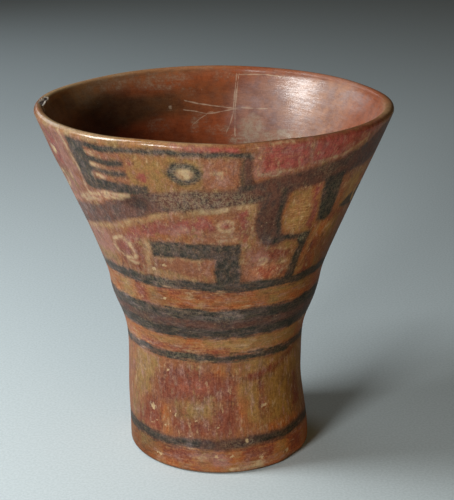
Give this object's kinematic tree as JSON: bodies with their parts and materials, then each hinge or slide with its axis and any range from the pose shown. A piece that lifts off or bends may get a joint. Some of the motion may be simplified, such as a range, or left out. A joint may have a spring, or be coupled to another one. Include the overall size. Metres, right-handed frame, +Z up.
{
  "type": "kero drinking cup",
  "caption": "Flared painted clay drinking cup with a wide mouth, a soft raised band, a narrow waist and a flat foot.",
  "frame": {"origin": "centre of the flat underside", "axes": "+Z up along the cup towards the mouth, -Y towards the main painted face, +X to the right of that face"},
  "size_m": [0.146, 0.146, 0.1506],
  "materials": {
    "painted_clay": "burnished red-brown slip, painted in dark plum, crimson, ochre and cream, worn"
  },
  "bodies": {
    "root": {"kero_cup": "painted_clay"}
  },
  "joints": []
}
